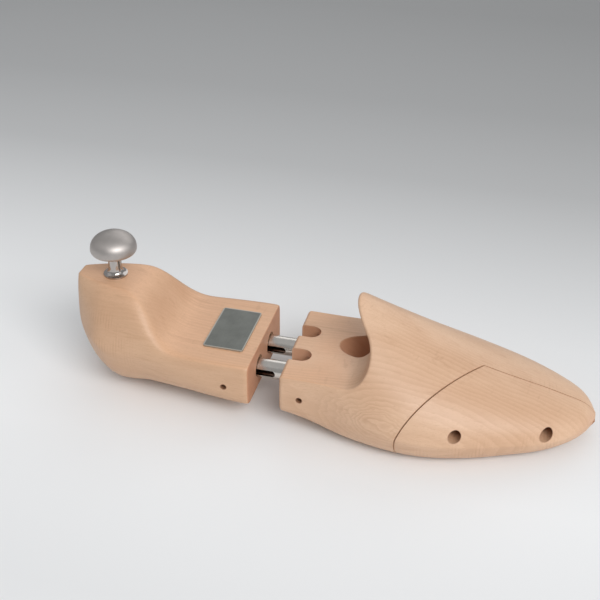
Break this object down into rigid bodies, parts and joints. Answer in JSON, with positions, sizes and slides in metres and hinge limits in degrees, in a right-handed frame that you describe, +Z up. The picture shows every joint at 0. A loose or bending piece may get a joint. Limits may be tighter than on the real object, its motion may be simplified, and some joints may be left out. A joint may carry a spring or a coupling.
{
  "type": "shoe tree",
  "caption": "Split-toe wooden shoe tree: carved heel block with metal knob and plain plate, two sprung slotted tubes, and a hinged forepart whose cheek spreads on a screw.",
  "frame": {"origin": "on the floor, under the middle of the tree's bounding box", "axes": "+X from the heel to the toe, +Y towards the inner side of the foot, +Z up"},
  "size_m": [0.2848, 0.091, 0.0866],
  "materials": {
    "heel_beech": "sanded, clear oiled beech",
    "toe_beech": "sanded, clear oiled beech",
    "dowel_beech": "smooth",
    "knob_nickel": "satin nickel",
    "tube_nickel": "bright nickel",
    "plate_pewter": "matt grey pewter tone",
    "steel": "plain steel",
    "spring_steel": "spring steel",
    "insert_brass": "plain brass"
  },
  "bodies": {
    "forepart": {"toe_block": "toe_beech", "toe_cross_pin": "steel", "guide_pin_rear": "dowel_beech", "guide_pin_front": "dowel_beech", "spread_spring_rear": "spring_steel", "spread_spring_front": "spring_steel"},
    "link": {"tube_lateral": "tube_nickel", "tube_medial": "tube_nickel"},
    "heel": {"heel_block": "heel_beech", "heel_knob": "knob_nickel", "knob_stud": "steel", "name_plate": "plate_pewter", "heel_cross_pin": "steel", "heel_spring_lateral": "spring_steel", "heel_spring_medial": "spring_steel"},
    "cheek": {"toe_cheek": "toe_beech", "cheek_insert": "insert_brass"},
    "screw": {"spread_screw": "steel"}
  },
  "joints": [
    {"name": "heel_swing", "type": "hinge", "parent": "forepart", "child": "link", "pos_m": [-0.00805, 0, 0.0222], "axis": [0, 1, 0], "range_deg": [0, 45]},
    {"name": "length_slide", "type": "slide", "parent": "link", "child": "heel", "axis": [1, 0, 0], "range_m": [0, 0.011], "stiffness_N_per_m": 1200, "springref_m": -0.01, "deforming": ["heel_spring_lateral", "heel_spring_medial"]},
    {"name": "toe_spread", "type": "slide", "parent": "forepart", "child": "cheek", "axis": [0, -1, 0], "range_m": [0, 0.005], "deforming": ["spread_spring_rear", "spread_spring_front"]},
    {"name": "screw_turn", "type": "hinge", "parent": "forepart", "child": "screw", "pos_m": [0.09515, 0.012, 0.0185], "axis": [0, 1, 0], "range_deg": [0, 2572]}
  ],
  "couplings": [
    {"joint": "screw_turn", "follows": "toe_spread", "rad_per_m": 8976}
  ]
}
